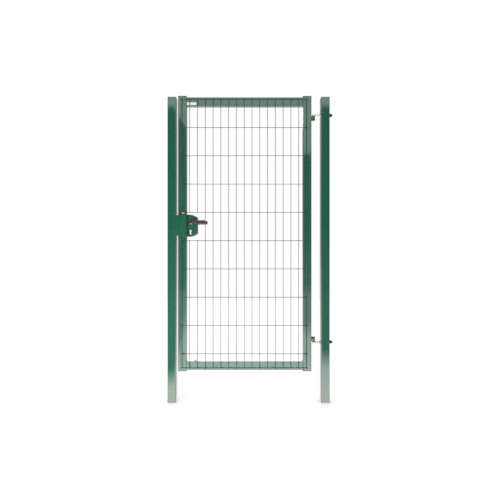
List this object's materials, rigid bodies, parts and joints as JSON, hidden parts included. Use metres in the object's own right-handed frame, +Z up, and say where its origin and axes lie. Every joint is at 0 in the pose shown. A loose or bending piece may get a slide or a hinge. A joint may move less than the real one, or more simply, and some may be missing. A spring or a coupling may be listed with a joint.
{
  "type": "mesh pedestrian gate",
  "caption": "Single-leaf pedestrian gate: square tube frame with welded wire mesh, lever lock and adjustable eyebolt hinges, hung between two square posts.",
  "frame": {"origin": "centre of the hinge post's foot, at ground level", "axes": "+Z up; +X from the latch post towards the hinge post; +Y the way the leaf opens, away from the mesh side"},
  "size_m": [1.17, 0.137, 2.17],
  "materials": {
    "green_coat": "satin moss green powder coat",
    "wire_coat": "satin green coat over galvanized wire",
    "zinc": "bright zinc plating",
    "black_plastic": "matt black plastic",
    "post_cap_coat": "dark green cap",
    "lever_bronze": "satin brown coat",
    "cylinder_brass": "pale plated brass",
    "label_white": "blank white label"
  },
  "bodies": {
    "posts": {"hinge_post": "green_coat", "latch_post": "green_coat", "hinge_post_cap": "post_cap_coat", "latch_post_cap": "post_cap_coat", "upper_eyebolt": "zinc", "lower_eyebolt": "zinc", "upper_washer": "zinc", "lower_washer": "zinc", "upper_nut": "zinc", "lower_nut": "zinc", "upper_dome_nut": "black_plastic", "lower_dome_nut": "black_plastic", "keep_plate": "green_coat"},
    "leaf": {"latch_stile": "green_coat", "hinge_stile": "green_coat", "top_rail": "green_coat", "bottom_rail": "green_coat", "latch_stile_top_cap": "black_plastic", "latch_stile_foot_cap": "black_plastic", "hinge_stile_top_cap": "black_plastic", "hinge_stile_foot_cap": "black_plastic", "mesh_panel": "wire_coat", "upper_hinge_lug": "green_coat", "lower_hinge_lug": "green_coat", "upper_hinge_pin": "zinc", "lower_hinge_pin": "zinc", "lock_case": "green_coat", "front_lock_cover": "green_coat", "back_lock_cover": "green_coat", "lock_forend": "zinc", "latch_bolt": "zinc", "dead_bolt": "zinc", "key_cylinder": "cylinder_brass", "front_rose": "zinc", "back_rose": "zinc", "label_plate": "label_white"},
    "levers": {"front_lever": "lever_bronze", "back_lever": "lever_bronze", "spindle": "zinc"}
  },
  "joints": [
    {"name": "gate_swing", "type": "hinge", "parent": "posts", "child": "leaf", "pos_m": [-0.076, 0, 0], "axis": [0, 0, -1], "range_deg": [0, 110]},
    {"name": "lever_turn", "type": "hinge", "parent": "leaf", "child": "levers", "pos_m": [-0.951, 0, 1.275], "axis": [0, 1, 0], "range_deg": [0, 40], "stiffness_Nm_per_rad": 1.5, "springref_deg": -34.38}
  ]
}
